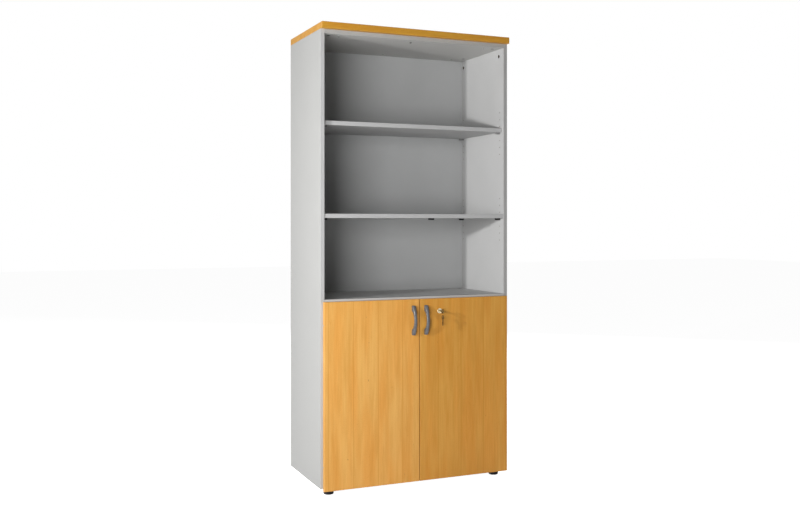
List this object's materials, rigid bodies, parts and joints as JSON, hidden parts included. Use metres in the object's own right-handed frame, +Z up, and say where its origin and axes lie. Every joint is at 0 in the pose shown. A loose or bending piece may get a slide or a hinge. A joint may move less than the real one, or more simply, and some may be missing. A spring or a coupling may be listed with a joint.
{
  "type": "bookcase with cabinet doors",
  "caption": "Tall panel-built office bookcase: open adjustable shelves above, a lockable cabinet behind hinged doors with bow handles below, on levelling feet.",
  "frame": {"origin": "on the floor, under the middle of the box round the whole object, handles and keys included", "axes": "+X to the right as seen from the front, +Y from the doors towards the back, +Z up"},
  "size_m": [0.9, 0.4875, 2],
  "materials": {
    "grey_melamine": "light-grey melamine, fine pearl texture",
    "back_board": "light-grey melamine, smooth",
    "beech_decor": "beech-decor melamine, satin",
    "dowel_wood": "plain beech, fluted in use",
    "black_plastic": "moulded, matte",
    "fitting_steel": "bright zinc-plated",
    "hinge_nickel": "nickel-plated",
    "handle_satin": "satin silver",
    "lock_nickel": "nickel-plated",
    "key_steel": "nickel-plated, worn",
    "buffer_rubber": "soft, translucent grey"
  },
  "bodies": {
    "carcass": {"back_panel": "back_board", "back_screws": "fitting_steel", "bolt_keeper": "fitting_steel", "cam_bolts": "fitting_steel", "cam_housings": "fitting_steel", "carcass_bottom": "grey_melamine", "carcass_top": "grey_melamine", "cover_screws": "fitting_steel", "deck": "grey_melamine", "dowels": "dowel_wood", "foot_front_left": "black_plastic", "foot_front_right": "black_plastic", "foot_rear_left": "black_plastic", "foot_rear_right": "black_plastic", "foot_sleeves": "black_plastic", "foot_stems": "fitting_steel", "hinge_arm_left_bottom": "hinge_nickel", "hinge_arm_left_top": "hinge_nickel", "hinge_arm_right_bottom": "hinge_nickel", "hinge_arm_right_top": "hinge_nickel", "hinge_arm_screws": "fitting_steel", "keeper_screws": "fitting_steel", "lock_keeper": "fitting_steel", "shelf_clip": "black_plastic", "shelf_inner": "grey_melamine", "shelf_middle": "grey_melamine", "shelf_supports": "black_plastic", "shelf_upper": "grey_melamine", "side_left": "grey_melamine", "side_right": "grey_melamine", "top_cover": "beech_decor"},
    "door_left": {"door_left": "beech_decor", "door_buffers_left": "buffer_rubber", "hinge_cup_left_top": "hinge_nickel", "hinge_cup_left_bottom": "hinge_nickel", "hinge_pins_left": "hinge_nickel", "hinge_cup_screws_left": "fitting_steel", "handle_left": "handle_satin", "handle_screws_left": "fitting_steel", "bolt_housing": "fitting_steel", "bolt_screws": "fitting_steel"},
    "door_right": {"door_right": "beech_decor", "door_buffers_right": "buffer_rubber", "hinge_cup_right_top": "hinge_nickel", "hinge_cup_right_bottom": "hinge_nickel", "hinge_pins_right": "hinge_nickel", "hinge_cup_screws_right": "fitting_steel", "handle_right": "handle_satin", "handle_screws_right": "fitting_steel", "lock_housing": "lock_nickel", "lock_nut": "lock_nickel"},
    "lock_plug": {"lock_plug": "lock_nickel", "lock_cam": "fitting_steel", "lock_cam_screw": "fitting_steel", "key": "key_steel"},
    "key_ring": {"key_ring": "key_steel"},
    "spare_key": {"spare_key": "key_steel"},
    "door_bolt": {"door_bolt": "fitting_steel"}
  },
  "joints": [
    {"name": "door_left_hinge", "type": "hinge", "parent": "carcass", "child": "door_left", "pos_m": [-0.4335, -0.19225, 0.423], "axis": [0, 0, -1], "range_deg": [0, 110]},
    {"name": "door_right_hinge", "type": "hinge", "parent": "carcass", "child": "door_right", "pos_m": [0.4335, -0.19225, 0.423], "axis": [0, 0, 1], "range_deg": [0, 110]},
    {"name": "lock_turn", "type": "hinge", "parent": "door_right", "child": "lock_plug", "pos_m": [0.097, -0.20125, 0.766], "axis": [0, -1, 0], "range_deg": [0, 90]},
    {"name": "key_ring_swing", "type": "hinge", "parent": "lock_plug", "child": "key_ring", "pos_m": [0.097, -0.23375, 0.76297], "axis": [-1, 0, 0], "range_deg": [-25, 90]},
    {"name": "spare_key_hang", "type": "hinge", "parent": "key_ring", "child": "spare_key", "pos_m": [0.097, -0.23375, 0.75397], "axis": [0, 1, 0], "range_deg": [0, 90]},
    {"name": "door_bolt_slide", "type": "slide", "parent": "door_left", "child": "door_bolt", "axis": [0, 0, 1], "range_m": [0, 0.014]}
  ],
  "couplings": [
    {"joint": "spare_key_hang", "follows": "lock_turn", "ratio": 1}
  ]
}
